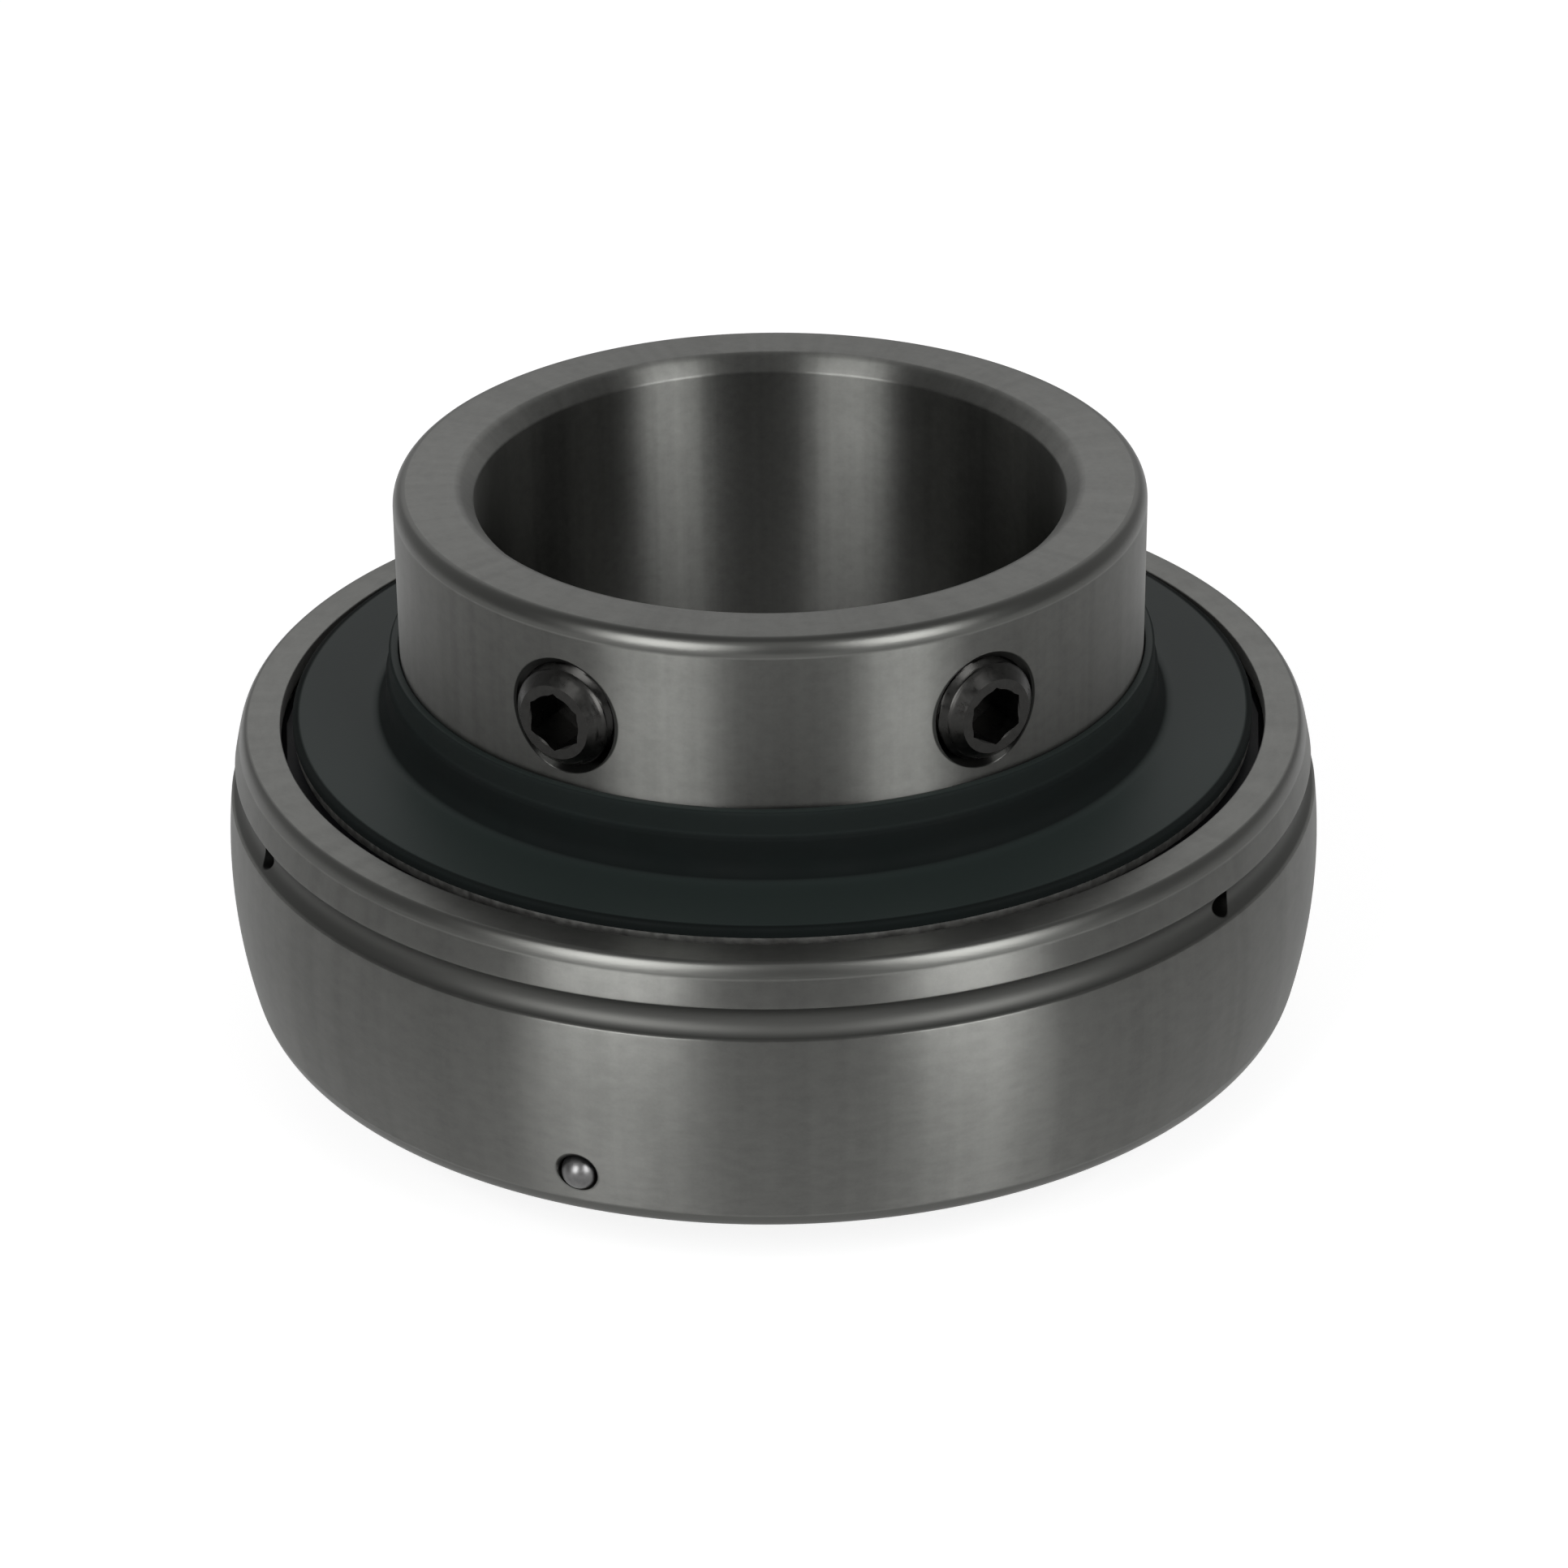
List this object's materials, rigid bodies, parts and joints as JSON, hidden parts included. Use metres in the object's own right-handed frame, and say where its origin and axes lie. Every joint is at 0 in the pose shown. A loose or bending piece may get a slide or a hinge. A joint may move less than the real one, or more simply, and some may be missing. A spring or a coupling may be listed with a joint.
{
  "type": "insert ball bearing",
  "caption": "Insert ball bearing with a wide inner ring held by set screws, a spherical outer ring, slingers, seals, a caged row of balls and an anti-rotation pin.",
  "frame": {"origin": "centre of the inner ring's lower end face, on the axis of rotation", "axes": "+Z along the axis of rotation, from the short end of the inner ring to its set-screw end; -Y is the front, midway between the set screws to within a degree"},
  "size_m": [0.085, 0.085, 0.0492],
  "materials": {
    "ring_steel": "ground and honed bearing steel, dark grey",
    "inner_ring_steel": "ground bearing steel, dark grey",
    "slinger_rubber": "moulded nitrile rubber, blue-black, semi-matt",
    "seal_rubber": "moulded nitrile rubber, black",
    "ball_steel": "polished bearing steel",
    "cage_steel": "pressed sheet steel",
    "rivet_steel": "headed wire",
    "set_screw_oxide": "black oxide on alloy steel",
    "pin_steel": "drawn steel"
  },
  "bodies": {
    "housing_side": {"outer_ring": "ring_steel", "anti_rotation_pin": "pin_steel", "seal_upper": "seal_rubber", "seal_lower": "seal_rubber"},
    "shaft_side": {"inner_ring": "inner_ring_steel", "slinger_upper": "slinger_rubber", "slinger_lower": "slinger_rubber"},
    "cage": {"cage_upper": "cage_steel", "cage_lower": "cage_steel", "cage_rivet_1": "rivet_steel", "cage_rivet_2": "rivet_steel", "cage_rivet_3": "rivet_steel", "cage_rivet_4": "rivet_steel", "cage_rivet_5": "rivet_steel", "cage_rivet_6": "rivet_steel", "cage_rivet_7": "rivet_steel", "cage_rivet_8": "rivet_steel", "cage_rivet_9": "rivet_steel"},
    "ball_1": {"ball_1": "ball_steel"},
    "ball_2": {"ball_2": "ball_steel"},
    "ball_3": {"ball_3": "ball_steel"},
    "ball_4": {"ball_4": "ball_steel"},
    "ball_5": {"ball_5": "ball_steel"},
    "ball_6": {"ball_6": "ball_steel"},
    "ball_7": {"ball_7": "ball_steel"},
    "ball_8": {"ball_8": "ball_steel"},
    "ball_9": {"ball_9": "ball_steel"},
    "set_screw_left": {"set_screw_left": "set_screw_oxide"},
    "set_screw_right": {"set_screw_right": "set_screw_oxide"}
  },
  "joints": [
    {"name": "shaft_spin", "type": "hinge", "parent": "housing_side", "child": "shaft_side", "pos_m": [0, 0, 0.019], "axis": [0, 0, 1], "continuous": true},
    {"name": "cage_spin", "type": "hinge", "parent": "housing_side", "child": "cage", "pos_m": [0, 0, 0.019], "axis": [0, 0, 1], "continuous": true},
    {"name": "ball_1_roll", "type": "hinge", "parent": "cage", "child": "ball_1", "pos_m": [0.0325, 0, 0.019], "axis": [0, 0, 1], "continuous": true},
    {"name": "ball_2_roll", "type": "hinge", "parent": "cage", "child": "ball_2", "pos_m": [0.0249, 0.02089, 0.019], "axis": [0, 0, 1], "continuous": true},
    {"name": "ball_3_roll", "type": "hinge", "parent": "cage", "child": "ball_3", "pos_m": [0.00564, 0.03201, 0.019], "axis": [0, 0, 1], "continuous": true},
    {"name": "ball_4_roll", "type": "hinge", "parent": "cage", "child": "ball_4", "pos_m": [-0.01625, 0.02815, 0.019], "axis": [0, 0, 1], "continuous": true},
    {"name": "ball_5_roll", "type": "hinge", "parent": "cage", "child": "ball_5", "pos_m": [-0.03054, 0.01112, 0.019], "axis": [0, 0, 1], "continuous": true},
    {"name": "ball_6_roll", "type": "hinge", "parent": "cage", "child": "ball_6", "pos_m": [-0.03054, -0.01112, 0.019], "axis": [0, 0, 1], "continuous": true},
    {"name": "ball_7_roll", "type": "hinge", "parent": "cage", "child": "ball_7", "pos_m": [-0.01625, -0.02815, 0.019], "axis": [0, 0, 1], "continuous": true},
    {"name": "ball_8_roll", "type": "hinge", "parent": "cage", "child": "ball_8", "pos_m": [0.00564, -0.03201, 0.019], "axis": [0, 0, 1], "continuous": true},
    {"name": "ball_9_roll", "type": "hinge", "parent": "cage", "child": "ball_9", "pos_m": [0.0249, -0.02089, 0.019], "axis": [0, 0, 1], "continuous": true},
    {"name": "set_screw_left_drive", "type": "slide", "parent": "shaft_side", "child": "set_screw_left", "axis": [0.5299, 0.848, 0], "range_m": [-0.002, 0.001]},
    {"name": "set_screw_right_drive", "type": "slide", "parent": "shaft_side", "child": "set_screw_right", "axis": [-0.5417, 0.8406, 0], "range_m": [-0.002, 0.001]}
  ],
  "couplings": [
    {"joint": "cage_spin", "follows": "shaft_spin", "ratio": 0.40231},
    {"joint": "ball_1_roll", "follows": "shaft_spin", "ratio": -2.4614},
    {"joint": "ball_2_roll", "follows": "shaft_spin", "ratio": -2.4614},
    {"joint": "ball_3_roll", "follows": "shaft_spin", "ratio": -2.4614},
    {"joint": "ball_4_roll", "follows": "shaft_spin", "ratio": -2.4614},
    {"joint": "ball_5_roll", "follows": "shaft_spin", "ratio": -2.4614},
    {"joint": "ball_6_roll", "follows": "shaft_spin", "ratio": -2.4614},
    {"joint": "ball_7_roll", "follows": "shaft_spin", "ratio": -2.4614},
    {"joint": "ball_8_roll", "follows": "shaft_spin", "ratio": -2.4614},
    {"joint": "ball_9_roll", "follows": "shaft_spin", "ratio": -2.4614}
  ]
}
